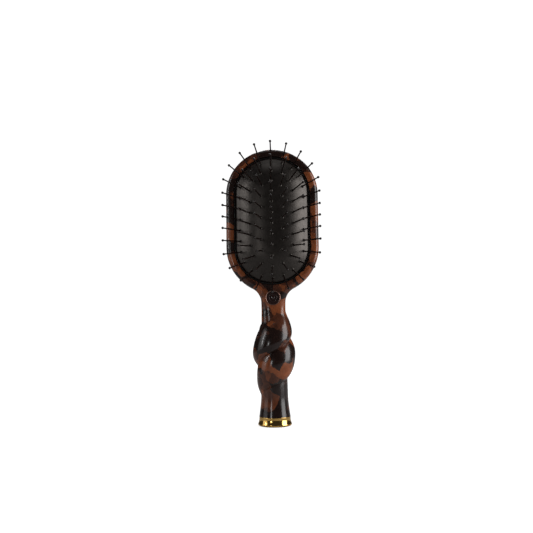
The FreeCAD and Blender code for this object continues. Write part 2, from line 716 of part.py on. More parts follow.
# ---------------------------------------------------------------- foot cap and its fastening
def turned_sketch(sketch, places):
    """A closed outline for turning, each corner placed by (radius, height) expressions."""
    count = len(places)
    shown = [(evaluate(r), evaluate(z)) for r, z in places]
    sides = [line(sketch, shown[i], shown[(i + 1) % count]) for i in range(count)]
    for i in range(count):
        constrain(sketch, "Coincident", sides[i], 2, sides[(i + 1) % count], 1)
    for i, (radius_to, height_to) in enumerate(places):
        radius, height = shown[i]
        if radius_to == "0":
            constrain(sketch, "PointOnObject", sides[i], 1, -2)
        else:
            constrain(
                sketch, "DistanceX", -1, 1, sides[i], 1, radius, name=f"r{i}", to=radius_to
            )
        if height_to == "0":
            constrain(sketch, "PointOnObject", sides[i], 1, -1)
        else:
            constrain(
                sketch, "DistanceY", -1, 1, sides[i], 1, height, name=f"z{i}", to=height_to
            )


def turn_round(body, name, sketch):
    turned = body.newObject("PartDesign::Revolution", name)
    turned.Profile = sketch
    turned.ReferenceAxis = (sketch, ["V_Axis"])
    turned.Angle = 360
    return turned


def build_cap():
    """The plated cap: a flared foot, a spigot and a blind hole for the stud."""
    body = new_body("end_cap")
    section = new_sketch(body, "cap_section", "XZ_Plane")
    top = "sizes.cap_height"
    spigot_top = f"{top} + sizes.spigot_height"
    bore_end = f"{spigot_top} - sizes.stud_bite"
    places = [
        ("0", "0"),
        ("sizes.cap_foot_width / 2", "0"),
        ("sizes.cap_top_width / 2", top),
        ("sizes.spigot_radius", top),
        ("sizes.spigot_radius", spigot_top),
        ("sizes.stud_radius", spigot_top),
        ("sizes.stud_radius", bore_end),
        ("0", bore_end),
    ]
    turned_sketch(section, places)
    turned = turn_round(body, "cap", section)
    DOC.recompute()
    rim = []
    for number, edge in enumerate(turned.Shape.Edges, start=1):
        box = edge.BoundBox
        if box.ZMax < 1e-4 and box.XMax > size("cap_foot_width") / 2 - 1e-3:
            rim.append(f"Edge{number}")
    add_fillet(body, "foot_rounding", turned, rim, "sizes.cap_round")
    return body


def build_stud():
    """The stud, screwed into the cap and into the insert."""
    body = new_body("cap_stud")
    section = new_sketch(body, "stud_section", "XZ_Plane")
    spigot_top = "sizes.cap_height + sizes.spigot_height"
    low = f"{spigot_top} - sizes.stud_bite"
    high = f"{spigot_top} + sizes.insert_length"
    chamfer = "sizes.stud_chamfer"
    places = [
        ("0", low),
        (f"sizes.stud_radius - {chamfer}", low),
        ("sizes.stud_radius", f"{low} + {chamfer}"),
        ("sizes.stud_radius", f"{high} - {chamfer}"),
        (f"sizes.stud_radius - {chamfer}", high),
        ("0", high),
    ]
    turned_sketch(section, places)
    turn_round(body, "stud", section)
    return body


def build_insert():
    """The brass insert, with two retaining grooves, moulded into the grip."""
    body = new_body("threaded_insert")
    section = new_sketch(body, "insert_section", "XZ_Plane")
    low = "(sizes.cap_height + sizes.spigot_height + sizes.seat_gap)"
    outer = "sizes.insert_radius"
    waist = "sizes.insert_radius - sizes.groove_depth"
    places = [("sizes.stud_radius", low), (outer, low)]
    for groove in (1, 2):
        start = f"{low} + {groove} * sizes.groove_start + {groove - 1} * sizes.groove_width"
        for radius_to, height_to in (
            (outer, start),
            (waist, start),
            (waist, f"{start} + sizes.groove_width"),
            (outer, f"{start} + sizes.groove_width"),
        ):
            places.append((radius_to, height_to))
    places.append((outer, f"{low} + sizes.insert_length"))
    places.append(("sizes.stud_radius", f"{low} + sizes.insert_length"))
    turned_sketch(section, places)
    turn_round(body, "insert", section)
    return body


# ---------------------------------------------------------------- the whole brush
def check(nodes):
    """Stops if an object failed or a sub-part isn't sound."""
    for item in DOC.Objects:
        if "Invalid" in item.State or "Error" in item.State:
            raise RuntimeError(f"{item.Name} failed: {item.State}")
    for node in nodes:
        shape = node.Shape
        if shape.isNull() or not shape.isValid() or not shape.Solids:
            raise RuntimeError(f"{node.Name} has no sound shape")


def main():
    nodes = [build_moulding(), build_cushion(), build_ring()]
    nodes += build_rings()
    nodes += [build_disc(), build_disc_rim(), build_cap(), build_stud(), build_insert()]
    DOC.recompute()
    check(nodes)
    os.makedirs("parts", exist_ok=True)
    for node in nodes:
        node.Shape.exportStep(f"parts/{node.Name}.step")
        solids = len(node.Shape.Solids)
        print(f"{node.Name}: {solids} solids, {node.Shape.Volume:.0f} mm3")


main()
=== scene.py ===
import math

import bmesh
import bpy
import numpy as np
from mathutils import Matrix, Vector


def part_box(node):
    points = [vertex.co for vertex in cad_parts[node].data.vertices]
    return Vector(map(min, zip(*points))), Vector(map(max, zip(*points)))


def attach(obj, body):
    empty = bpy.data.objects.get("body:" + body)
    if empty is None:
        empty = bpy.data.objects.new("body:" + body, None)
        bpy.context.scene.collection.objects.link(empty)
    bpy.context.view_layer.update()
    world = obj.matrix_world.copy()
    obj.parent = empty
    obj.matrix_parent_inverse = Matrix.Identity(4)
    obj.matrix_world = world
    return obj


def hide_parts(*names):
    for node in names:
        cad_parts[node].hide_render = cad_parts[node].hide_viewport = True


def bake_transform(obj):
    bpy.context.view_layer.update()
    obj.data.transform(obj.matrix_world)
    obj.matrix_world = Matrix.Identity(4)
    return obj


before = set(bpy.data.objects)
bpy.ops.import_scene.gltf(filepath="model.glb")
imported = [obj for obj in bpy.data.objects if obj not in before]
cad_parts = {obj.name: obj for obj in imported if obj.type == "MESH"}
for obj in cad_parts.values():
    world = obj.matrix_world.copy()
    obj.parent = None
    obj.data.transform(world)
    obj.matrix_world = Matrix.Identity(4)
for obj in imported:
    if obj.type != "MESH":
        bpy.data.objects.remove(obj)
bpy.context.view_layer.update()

# A vanity hairbrush, in millimetres until a mesh is made; +Z up, pins towards -Y.
metre = 0.001
mergeDistance = 1.5e-6  # metres, closes seams and poles
hair = 1e-9  # two levels this close mark the end of a wall
crispAngle = math.radians(40)  # edges that turn by more than this stay crisp


# A CAD node's lowest and highest corner, in millimetres.
def boxOf(node):
    low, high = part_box(node)
    return np.array(low) / metre, np.array(high) / metre


mouldingLow, mouldingHigh = boxOf("handle_body")
cushionLow, cushionHigh = boxOf("cushion_pad")
ringLow, ringHigh = boxOf("pad_ring")
capHigh = boxOf("end_cap")[1]
discHigh = boxOf("medallion_disc")[1]
rimLow, rimHigh = boxOf("medallion_rim")

seatGap = 0.1
headHalf = mouldingHigh[0]
ringDrop = 1.1  # the ring lies this much under the head's front face
frontFace = ringLow[1] - ringDrop
backFace = 8.0  # the grip is deeper than the head, so the moulding's box doesn't give this
gripFoot = mouldingLow[2]
lipHalf = cushionHigh[0]
mouthHalf = lipHalf + seatGap
padMiddle = (cushionLow[2] + cushionHigh[2]) / 2
straight = (cushionHigh[2] - cushionLow[2]) / 2 - lipHalf
upperCentre = padMiddle + straight
lowerCentre = padMiddle - straight
brushTop = upperCentre + headHalf  # the CAD mesh is faceted and stops a little under this


# Eased share: 3s^2 - 2s^3, level at both ends.
def smooth(share):
    share = np.clip(share, 0, 1)
    return share * share * (3 - 2 * share)


# A grid of points, rows by columns, becomes quads; closed joins the last column to the first.
def gridFaces(rows, columns, closedColumns=True, closedRows=False):
    down = np.arange(rows if closedRows else rows - 1)[:, None]
    along = np.arange(columns if closedColumns else columns - 1)[None, :]
    nextDown = (down + 1) % rows
    nextAlong = (along + 1) % columns
    corners = [down * columns + along, down * columns + nextAlong,
               nextDown * columns + nextAlong, nextDown * columns + along]
    return np.stack(corners, axis=-1)


# Points and quads become a closed mesh with outward faces, its finish and body.
def makePiece(name, points, faces, material, body=None):
    mesh = bpy.data.meshes.new(name)
    corners = faces.reshape(-1, 4)
    mesh.from_pydata((points.reshape(-1, 3) * metre).tolist(), [], corners.tolist())
    work = bmesh.new()
    work.from_mesh(mesh)
    bmesh.ops.remove_doubles(work, verts=work.verts, dist=mergeDistance)
    bmesh.ops.recalc_face_normals(work, faces=work.faces)
    work.to_mesh(mesh)
    openEdges = sum(1 for edge in work.edges if len(edge.link_faces) != 2)
    work.free()
    mesh.shade_smooth()
    mesh.set_sharp_from_angle(angle=crispAngle)
    mesh.materials.append(material)
    piece = bpy.data.objects.new(name, mesh)
    bpy.context.scene.collection.objects.link(piece)
    if body:
        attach(piece, body)
    print(f"{name}: {len(mesh.polygons)} faces, {openEdges} open edges")
    return piece


# Directions and centres round a stadium, clockwise from its left shoulder as the pins are seen.
def stadiumRound(bendSteps, sideSteps):
    topTurn = np.linspace(math.pi, 0, bendSteps, endpoint=False)
    lowTurn = np.linspace(0, -math.pi, bendSteps, endpoint=False)
    sideRun = np.linspace(1, -1, sideSteps, endpoint=False)
    ones = np.ones(bendSteps)
    nx = np.concatenate([np.cos(topTurn), np.ones(sideSteps), np.cos(lowTurn), -np.ones(sideSteps)])
    nz = np.concatenate([np.sin(topTurn), np.zeros(sideSteps), np.sin(lowTurn), np.zeros(sideSteps)])
    cz = np.concatenate([ones, sideRun, -ones, -sideRun]) * straight + padMiddle
    return nx, nz, cz


# A section of (distance from the middle line, y) carried round the stadium.
def stadiumSweep(offsets, depths, bendSteps=56, sideSteps=26):
    nx, nz, cz = stadiumRound(bendSteps, sideSteps)
    offsets = np.asarray(offsets)[:, None]
    x = offsets * nx
    z = cz + offsets * nz
    y = np.broadcast_to(np.asarray(depths)[:, None], x.shape)
    return np.stack([x, y, z], axis=-1)


# A section of (radius, height) turned round the brush's own axis.
def lathe(radii, heights, steps):
    turn = np.linspace(0, 2 * math.pi, steps, endpoint=False)
    radii = np.asarray(radii)[:, None]
    x = radii * np.cos(turn)
    y = radii * np.sin(turn)
    z = np.broadcast_to(np.asarray(heights)[:, None], x.shape)
    return np.stack([x, y, z], axis=-1)


# One material, with short calls that add nodes to it and link or set their sockets.
class Maker:
    def __init__(self, name):
        self.material = bpy.data.materials.new(name)
        self.material.use_nodes = True
        self.tree = self.material.node_tree
        self.shader = self.tree.nodes["Principled BSDF"]
        self.place = self.add("ShaderNodeTexCoord").outputs["Object"]

    def add(self, kind, settings=None, **inputs):
        node = self.tree.nodes.new(kind)
        for key, value in (settings or {}).items():
            setattr(node, key, value)
        for key, value in inputs.items():
            numbered = key[0] == "n" and key[1:].isdigit()  # n0, n1 and so on count the sockets
            self.fill(node.inputs[int(key[1:]) if numbered else key], value)
        return node

    def fill(self, socket, value):
        if isinstance(value, bpy.types.NodeSocket):
            self.tree.links.new(value, socket)
        else:
            socket.default_value = value

    def noise(self, scale, detail=3.0, vector=None):
        return self.add("ShaderNodeTexNoise", Vector=vector or self.place, Scale=scale, Detail=detail,
                        Roughness=0.5)

    def math(self, operation, a, b):
        return self.add("ShaderNodeMath", {"operation": operation}, n0=a, n1=b).outputs[0]

    def vector(self, operation, **inputs):
        return self.add("ShaderNodeVectorMath", {"operation": operation}, **inputs).outputs[0]

    def ramp(self, value, stops):
        node = self.add("ShaderNodeValToRGB", Fac=value)
        elements = node.color_ramp.elements
        while len(elements) < len(stops):
            elements.new(0.5)
        for element, (position, colour) in zip(elements, stops):
            element.position = position
            element.color = (*colour, 1)
        return node.outputs["Color"]

    def greyRamp(self, value, start, end, levels):
        return self.ramp(value, [(start, (levels[0],) * 3), (end, (levels[1],) * 3)])

    def bump(self, height, distance, strength=1.0):
        node = self.add("ShaderNodeBump", Height=height, Distance=distance, Strength=strength)
        self.tree.links.new(node.outputs["Normal"], self.shader.inputs["Normal"])

    def set(self, **values):
        names = {"colour": "Base Color", "roughness": "Roughness", "metallic": "Metallic", "ior": "IOR",
                 "coat": "Coat Weight", "coatRoughness": "Coat Roughness",
                 "specular": "Specular IOR Level", "tint": "Specular Tint"}
        for key, value in values.items():
            self.fill(self.shader.inputs[names[key]], value)


tortoiseshellLook = {
    "amber": (0.300, 0.088, 0.032), "brown": (0.105, 0.034, 0.018), "dark": (0.019, 0.0088, 0.0068),
    "darkTo": 0.50, "brownFrom": 0.57, "brownTo": 0.63, "amberFrom": 0.70,
    "chipScale": 78.0, "chipSoftness": 0.09, "chipShare": 0.62,
    "smallChipScale": 150.0, "smallChipSoftness": 0.12, "smallChipShare": 0.20,
    "cloudScale": 30.0, "cloudShare": 0.30,
    "warpScale": 70.0, "warp": 0.0105, "edgeScale": 330.0, "edgeWarp": 0.0016,
    "depthScale": 210.0, "deep": (0.70, 0.66, 0.64), "shallow": (1.14, 1.12, 1.08),
    "smearScale": 170.0, "roughness": (0.17, 0.25), "ior": 1.46, "coat": 0.22, "coatRoughness": 0.08,
    "waveScale": 110.0, "waveHeight": 0.00003, "waveStrength": 0.35,
}


# A push off the place: a noise's colour less a half, times an amount.
def push(m, scale, amount):
    centred = m.vector("SUBTRACT", n0=m.noise(scale, 2.0).outputs["Color"], n1=(0.5, 0.5, 0.5))
    return m.vector("SCALE", n0=centred, Scale=amount)


# The random value that a softened Voronoi cell has all over, times its share.
def chipValue(m, place, scale, softness, channel, share):
    cells = m.add("ShaderNodeTexVoronoi", {"feature": "SMOOTH_F1"}, Vector=place, Scale=scale,
                  Smoothness=softness)
    value = m.add("ShaderNodeSeparateColor", Color=cells.outputs["Color"]).outputs[channel]
    return m.math("MULTIPLY", value, share)


# Angular chips: the random value of each warped Voronoi cell, at two sizes, is added to a slow
# cloud and read through a ramp from dark over brown to amber.
def tortoiseshell():
    look = tortoiseshellLook
    m = Maker("tortoiseshell")
    moved = m.vector("ADD", n0=m.place, n1=push(m, look["warpScale"], look["warp"]))
    warped = m.vector("ADD", n0=moved, n1=push(m, look["edgeScale"], look["edgeWarp"]))
    large = chipValue(m, warped, look["chipScale"], look["chipSoftness"], 0, look["chipShare"])
    small = chipValue(m, warped, look["smallChipScale"], look["smallChipSoftness"], 1,
                      look["smallChipShare"])
    cloud = m.math("MULTIPLY", m.noise(look["cloudScale"], 2.0).outputs["Fac"], look["cloudShare"])
    value = m.math("ADD", m.math("ADD", large, small), cloud)
    base = m.ramp(value, [
        (0.0, look["dark"]), (look["darkTo"], look["dark"]),
        (look["brownFrom"], look["brown"]), (look["brownTo"], look["brown"]),
        (look["amberFrom"], look["amber"]), (1.0, look["amber"]),
    ])
    depth = m.noise(look["depthScale"], 4.0, warped).outputs["Fac"]
    shade = m.ramp(depth, [(0.3, look["deep"]), (0.7, look["shallow"])])
    multiply = {"data_type": "RGBA", "blend_type": "MULTIPLY"}
    shaded = m.add("ShaderNodeMix", multiply, n0=1.0, n6=base, n7=shade)
    smear = m.noise(look["smearScale"], 3.0).outputs["Fac"]
    m.set(colour=shaded.outputs[2], roughness=m.greyRamp(smear, 0.3, 0.72, look["roughness"]),
          coat=look["coat"], ior=look["ior"], coatRoughness=look["coatRoughness"])
    m.bump(m.noise(look["waveScale"], 1.0).outputs["Fac"], look["waveHeight"], look["waveStrength"])
    return m.material


rubberLook = {
    "cloudScale": 120.0, "dark": (0.0075, 0.0058, 0.0050), "light": (0.0120, 0.0094, 0.0082),
    "satinScale": 300.0, "roughness": (0.34, 0.42), "specular": 0.70, "tint": (1.0, 0.90, 0.83, 1),
    "grainScale": 2200.0, "grainHeight": 0.000006, "grainStrength": 0.3,
}


# Moulded rubber: near-black, satin, with a very fine grain and faint dusty clouds.
def cushionRubber():
    look = rubberLook
    m = Maker("cushion_rubber")
    cloud = m.noise(look["cloudScale"]).outputs["Fac"]
    satin = m.noise(look["satinScale"]).outputs["Fac"]
    m.set(colour=m.ramp(cloud, [(0.3, look["dark"]), (0.75, look["light"])]),
          roughness=m.greyRamp(satin, 0.3, 0.7, look["roughness"]),
          specular=look["specular"], tint=look["tint"])
    m.bump(m.noise(look["grainScale"], 2.0).outputs["Fac"], look["grainHeight"], look["grainStrength"])
    return m.material


glossLook = {
    "rippleScale": 420.0, "dark": (0.004, 0.004, 0.004), "light": (0.009, 0.0085, 0.008),
    "roughness": (0.25, 0.36), "rippleHeight": 0.00002, "rippleStrength": 0.4,
}


# Gloss black edge strip, faintly rippled as extruded.
def blackGloss():
    look = glossLook
    m = Maker("black_gloss")
    ripple = m.noise(look["rippleScale"], 2.0).outputs["Fac"]
    m.set(colour=m.ramp(ripple, [(0.2, look["dark"]), (0.8, look["light"])]),
          roughness=m.greyRamp(ripple, 0.3, 0.7, look["roughness"]))
    m.bump(ripple, look["rippleHeight"], look["rippleStrength"])
    return m.material


nylonLook = {
    "flowScale": 900.0, "dark": (0.006, 0.0032, 0.0028), "light": (0.016, 0.0062, 0.0050),
    "roughness": (0.11, 0.17), "flowHeight": 0.00001, "flowStrength": 0.4,
}


# Nylon: dark, with fine flow marks of warm brown and a soft gloss.
def pinNylon():
    look = nylonLook
    m = Maker("pin_nylon")
    flow = m.noise(look["flowScale"], 2.0).outputs["Fac"]
    m.set(colour=m.ramp(flow, [(0.25, look["dark"]), (0.8, look["light"])]),
          roughness=m.greyRamp(flow, 0.3, 0.7, look["roughness"]))
    m.bump(flow, look["flowHeight"], look["flowStrength"])
    return m.material


enamelLook = {
    "cloudScale": 420.0, "dark": (0.016, 0.0062, 0.0056), "light": (0.030, 0.0115, 0.0095),
    "roughness": (0.16, 0.26), "coat": 0.4, "coatRoughness": 0.06,
    "grainScale": 1600.0, "grainHeight": 0.00001, "grainStrength": 0.4,
}


# Polished dark inlay with a slow cloud of brown.
def darkEnamel():
    look = enamelLook
    m = Maker("dark_enamel")
    cloud = m.noise(look["cloudScale"]).outputs["Fac"]
    m.set(colour=m.ramp(cloud, [(0.3, look["dark"]), (0.75, look["light"])]),
          roughness=m.greyRamp(cloud, 0.3, 0.7, look["roughness"]),
          coat=look["coat"], coatRoughness=look["coatRoughness"])
    m.bump(m.noise(look["grainScale"], 2.0).outputs["Fac"], look["grainHeight"], look["grainStrength"])
    return m.material


# Each metal: two colours, two roughnesses, and how fine its polish marks are.
metalLooks = {
    "rim_metal": ((0.34, 0.19, 0.155), (0.42, 0.25, 0.20), (0.20, 0.30), 1500.0),
    "gold_plate": ((0.87, 0.53, 0.15), (0.93, 0.59, 0.19), (0.09, 0.16), 900.0),
    "bright_steel": ((0.55, 0.55, 0.56), (0.63, 0.63, 0.64), (0.25, 0.38), 2600.0),
    "insert_brass": ((0.62, 0.44, 0.19), (0.72, 0.53, 0.25), (0.24, 0.36), 2600.0),
}
metalCloudScale = 180.0
metalMarkHeight = 0.000004
metalMarkStrength = 0.3


# A metal: colour varied by a slow cloud, roughness by fine polish marks.
def polishedMetal(name):
    colourFrom, colourTo, roughness, marks = metalLooks[name]
    m = Maker(name)
    cloud = m.noise(metalCloudScale, 2.0).outputs["Fac"]
    polish = m.noise(marks).outputs["Fac"]
    m.set(colour=m.ramp(cloud, [(0.3, colourFrom), (0.7, colourTo)]), metallic=1.0,
          roughness=m.greyRamp(polish, 0.3, 0.7, roughness))
    m.bump(polish, metalMarkHeight, metalMarkStrength)
    return m.material


finishes = {
    "tortoiseshell": tortoiseshell(),
    "cushion_rubber": cushionRubber(),
    "black_gloss": blackGloss(),
    "pin_nylon": pinNylon(),
    "dark_enamel": darkEnamel(),
}
for metalName in metalLooks:
    finishes[metalName] = polishedMetal(metalName)
print("finishes made")

moulding = {
    "frontRound": 3.6, "sideBack": 1.5, "backPower": 5.0, "backFullness": 2.2,
    "neckHalf": 9.3, "shoulderRadius": 12.0,
    "ledgeWidth": 2.5, "ledgeY": cushionHigh[1], "floorY": cushionHigh[1] + 4.8, "mouthRound": 0.4,
    "seatRadius": 7.0, "seatTop": 11.7, "boreRadius": 4.0, "boreTop": 23.5,
    "ledgeRow": 1.2, "wallRow": 1.6,
}
twist = {
    "top": 86.0, "bottom": 21.5, "widest": 54.5, "fullHalf": 16.1, "waistHalf": 10.1, "footHalf": 11.7,
    "neckHalf": 9.1, "neckDepth": 7.3, "creaseShare": 0.5, "crest": 0.4, "steepPower": 2.6,
    "slackPower": 2.1, "flarePower": 1.5, "lift": 0.5, "squareness": 0.6,
    "firstEnd": 0.2, "secondStart": 0.16, "secondPower": 0.85,
    "slideFrom": 103.0, "slideTo": 92.0, "turnFrom": 98.0,
    # each crease: share of the twist from its top, and degrees round the grip, 90 at the front
    "firstCrease": [(-0.2, -100), (0.0, 0), (0.2, 165), (0.5, 270), (0.76, 360), (1.0, 540), (1.3, 640)],
    "secondCrease": [(-0.2, 120), (0.0, 180), (0.15, 260), (0.33, 360), (0.65, 540), (1.0, 690), (1.3, 800)],
}
# millimetres between rows, and degrees round the head's ends
rowSteps = {"bend": 2.5, "straight": 1.6, "grip": 0.55, "least": 0.07}
hollowX = moulding["neckHalf"] + moulding["shoulderRadius"]
reach = headHalf + moulding["shoulderRadius"]
hollowZ = lowerCentre - math.sqrt(reach**2 - hollowX**2)
hollowDrop = (lowerCentre - hollowZ) / reach


# Half width of the head's outline, drawn in by an inset, at a level: stadium, then the hollow
# arc of the shoulder, then the straight neck.
def outlineHalf(inset, z):
    radius = headHalf - inset
    past = np.maximum(np.abs(z - padMiddle) - straight, 0)
    arc = np.sqrt(np.maximum(radius**2 - past**2, 0))
    if z >= lowerCentre:
        return arc
    hollow = hollowX - np.sqrt(np.maximum((moulding["shoulderRadius"] + inset) ** 2 - (z - hollowZ) ** 2, 0))
    neck = moulding["neckHalf"] - inset
    lower = np.where(z >= hollowZ, hollow, neck)
    return np.where(z >= lowerCentre - radius * hollowDrop, arc, lower)


# Distance from the middle of a level to the nearest point of the outline.
def deepestInset(z):
    if z >= lowerCentre:
        return headHalf - max(z - upperCentre, 0)
    if z >= hollowZ:
        return math.hypot(hollowX, z - hollowZ) - moulding["shoulderRadius"]
    return moulding["neckHalf"]


# Front: a quarter round of the edge, then flat.
def frontDepth(inset):
    radius = moulding["frontRound"]
    inner = radius - np.minimum(inset, radius)
    return frontFace + radius - np.sqrt(radius**2 - inner**2)


# Back: one full curve from the side wall to a slightly crowned middle.
def backDepth(inset):
    out = 1 - np.minimum(inset / headHalf, 1)
    rise = (1 - out ** moulding["backPower"]) ** (1 / moulding["backFullness"])
    return moulding["sideBack"] + (backFace - moulding["sideBack"]) * rise


# The pocket from its middle: floor, chamber wall, ledge, mouth wall and a quarter round.
def pocketSection():
    chamberHalf = mouthHalf - moulding["ledgeWidth"]
    ledgeY = moulding["ledgeY"]
    floorY = moulding["floorY"]
    edge = moulding["mouthRound"]
    ledgeRow = mouthHalf - moulding["ledgeRow"]
    wallRow = moulding["wallRow"]
    turn = np.linspace(0, math.pi / 2, 6)
    offsets = [*np.linspace(0, chamberHalf, 4), chamberHalf, chamberHalf, ledgeRow, mouthHalf,
               mouthHalf, mouthHalf, *(mouthHalf + edge * (1 - np.cos(turn)))]
    depths = [*([floorY] * 4), (floorY + ledgeY) / 2, ledgeY, ledgeY, ledgeY,
              ledgeY - wallRow, ledgeY - 2 * wallRow, *(frontFace + edge * (1 - np.sin(turn)))]
    return np.array(offsets), np.array(depths)


pocketOffsets, pocketDepths = pocketSection()
faceSteps = np.linspace(0, 1, 10)[1:]
roundInsets = moulding["frontRound"] * (1 - np.sin(np.linspace(0, math.pi / 2, 10)[1:]))
sideDepths = np.linspace(frontFace + moulding["frontRound"], moulding["sideBack"], 7)[1:]
backInsets = headHalf * np.linspace(0, 1, 45)[1:] ** 2.0
creaseColumn = len(pocketOffsets) + len(faceSteps) + len(roundInsets) + len(sideDepths) // 2
backColumn = len(pocketOffsets) + len(faceSteps) + len(roundInsets) + len(sideDepths) + len(backInsets) - 1


# Half of a level section of the head, from the pocket's middle round to the back's middle.
def headSection(z):
    past = max(abs(z - padMiddle) - straight, 0)
    inPocket = pocketOffsets >= past
    pocketX = np.sqrt(np.maximum(pocketOffsets**2 - past**2, 0))
    collapsedY = frontFace
    if past < pocketOffsets[-1]:
        collapsedY = pocketDepths[np.argmax(inPocket)]
        between = np.argmax(inPocket)
        if between and pocketOffsets[between] > pocketOffsets[between - 1]:
            low, high = pocketOffsets[between - 1], pocketOffsets[between]
            share = (past - low) / (high - low)
            collapsedY = pocketDepths[between - 1] * (1 - share) + pocketDepths[between] * share
    deepest = deepestInset(z)
    topY = frontDepth(min(moulding["frontRound"], deepest))
    if past >= pocketOffsets[-1]:
        collapsedY = topY
    pocketY = np.where(inPocket, pocketDepths, collapsedY)
    pocketX = np.where(inPocket, pocketX, 0)

    faceEnd = outlineHalf(moulding["frontRound"], z) if deepest > moulding["frontRound"] else 0.0
    faceX = pocketX[-1] + faceSteps * (faceEnd - pocketX[-1])
    faceY = np.full(len(faceSteps), topY)
    roundIn = roundInsets < deepest
    roundX = np.where(roundIn, outlineHalf(roundInsets, z), 0)
    roundY = frontDepth(np.minimum(roundInsets, deepest))
    sideX = np.full(len(sideDepths), float(outlineHalf(0.0, z)))
    backIn = backInsets < deepest
    backX = np.where(backIn, outlineHalf(backInsets, z), 0)
    backY = backDepth(np.minimum(backInsets, deepest))
    x = np.concatenate([pocketX, faceX, roundX, sideX, backX])
    y = np.concatenate([pocketY, faceY, roundY, sideDepths, backY])
    return x, y


# A crease's azimuth between its points, on a smooth monotone curve.
def alongCrease(path, share):
    places = np.array([p[0] for p in path])
    values = np.array([p[1] for p in path], float)
    slopes = np.diff(values) / np.diff(places)
    inner = 2 * slopes[:-1] * slopes[1:] / (slopes[:-1] + slopes[1:])
    rates = np.concatenate([[slopes[0]], inner, [slopes[-1]]])
    i = int(np.clip(np.searchsorted(places, share) - 1, 0, len(slopes) - 1))
    width = places[i + 1] - places[i]
    s = (share - places[i]) / width
    curve = (2 * s**3 - 3 * s**2 + 1) * values[i] + (s**3 - 2 * s**2 + s) * width * rates[i]
    curve += (3 * s**2 - 2 * s**3) * values[i + 1] + (s**3 - s**2) * width * rates[i + 1]
    return math.radians(curve)


# Azimuths of both creases at a level, the second within one turn after the first.
def creases(z, held=False):
    share = (twist["top"] - z) / (twist["top"] - twist["bottom"])
    share = max(share, 0) if held else share
    first = alongCrease(twist["firstCrease"], share)
    second = alongCrease(twist["secondCrease"], share)
    second -= 2 * math.pi * math.floor((second - first) / (2 * math.pi))
    return first, second


# How full a strand is: a quarter sine up to the widest level, raised to a power.
def swell(z, low, high, power):
    if z >= twist["widest"]:
        share = (high - z) / (high - twist["widest"])
    else:
        share = (z - low) / (twist["widest"] - low)
    return math.sin(math.pi / 2 * min(max(share, 0), 1)) ** power


# The core: a round flare at the foot, above it a superellipse that turns into the neck.
def coreRadius(azimuth, z):
    bottom = twist["bottom"]
    if z < bottom:
        flare = ((bottom - z) / (bottom - gripFoot)) ** twist["flarePower"]
        return np.full_like(azimuth, twist["waistHalf"] + (twist["footHalf"] - twist["waistHalf"]) * flare)
    share = min(max((z - bottom) / (twist["top"] - bottom), 0), 1)
    halfWidth = twist["waistHalf"] + (twist["neckHalf"] - twist["waistHalf"]) * share
    halfDepth = twist["waistHalf"] + (twist["neckDepth"] - twist["waistHalf"]) * share**2
    power = 2 + twist["squareness"] * share**3
    across = np.abs(np.cos(azimuth)) / halfWidth
    deep = np.abs(np.sin(azimuth)) / halfDepth
    return (across**power + deep**power) ** (-1 / power)


# Two strands wound round a core: each swells between its ends and falls from its crest to a crease.
def gripRadius(azimuth, z):
    first, second = creases(z)
    turn = np.mod(azimuth - first, 2 * math.pi)
    width = second - first
    onSecond = turn < width
    position = np.where(onSecond, turn / width, (turn - width) / (2 * math.pi - width))
    length = twist["top"] - twist["bottom"]
    amountOne = swell(z, twist["bottom"] + twist["firstEnd"] * length, twist["top"], 1.0)
    amountTwo = swell(z, twist["bottom"], twist["top"] - twist["secondStart"] * length, twist["secondPower"])
    core = coreRadius(azimuth, z)
    room = twist["fullHalf"] - core
    strand = core + room * np.where(onSecond, amountTwo, amountOne)
    crease = core + twist["creaseShare"] * room * min(amountOne, amountTwo)
    crest = twist["crest"]
    steep = 1 - np.maximum(1 - position / crest, 0) ** twist["steepPower"]
    slack = 1 - np.maximum((position - crest) / (1 - crest), 0) ** twist["slackPower"]
    return crease + (strand - crease) * np.where(position < crest, steep, slack)


# Azimuths of the grid's columns on the grip, gathered at the creases.
def gripColumns(z):
    first, second = creases(z, held=True)
    widthA = second - first
    widthB = 2 * math.pi - widthA
    front = np.linspace(0, 1, creaseColumn + 1)
    back = np.linspace(0, 1, backColumn - creaseColumn + 1)[1:]
    gathered = 0.5 * np.sin(math.pi / 2 * front)
    spread = 0.5 * (1 - np.cos(math.pi / 2 * back))
    left = np.concatenate([first + (0.5 + gathered) * widthA, second + spread * widthB])
    rightBack = second + (1 - spread) * widthB
    rightFront = first + 2 * math.pi + (0.5 - gathered) * widthA
    right = np.concatenate([rightFront, rightBack])
    return np.concatenate([left, right[-2:0:-1]])


# Heights of the rows: even angles round each end of head and pocket, even steps between.
def mouldingLevels():
    levels = [brushTop]
    bends = np.sin(np.radians(np.arange(0, 90, rowSteps["bend"])))
    for radius in (headHalf, mouthHalf, mouthHalf - moulding["ledgeWidth"]):
        levels += list(upperCentre + radius * bends)
        if radius < headHalf:
            levels += list(lowerCentre - radius * bends)
    levels += list(np.arange(lowerCentre, upperCentre, rowSteps["straight"]))
    levels += list(np.arange(gripFoot, lowerCentre, rowSteps["grip"]))
    edge = moulding["mouthRound"]
    ends = []
    for end in (mouthHalf, mouthHalf - moulding["ledgeWidth"]):
        ends += [upperCentre + end, lowerCentre - end]
    levels += [upperCentre + mouthHalf + edge * s for s in (0.3, 0.6, 1)]
    levels += [lowerCentre - mouthHalf - edge * s for s in (0.3, 0.6, 1)]
    kept = [gripFoot, brushTop]
    for z in sorted(levels):
        if min(abs(z - k) for k in kept[-2:] + kept[:2] + ends) > rowSteps["least"]:
            kept.append(z)
    for end in ends:
        kept += [end - hair, end + hair]
    return np.array(sorted(kept))[::-1]


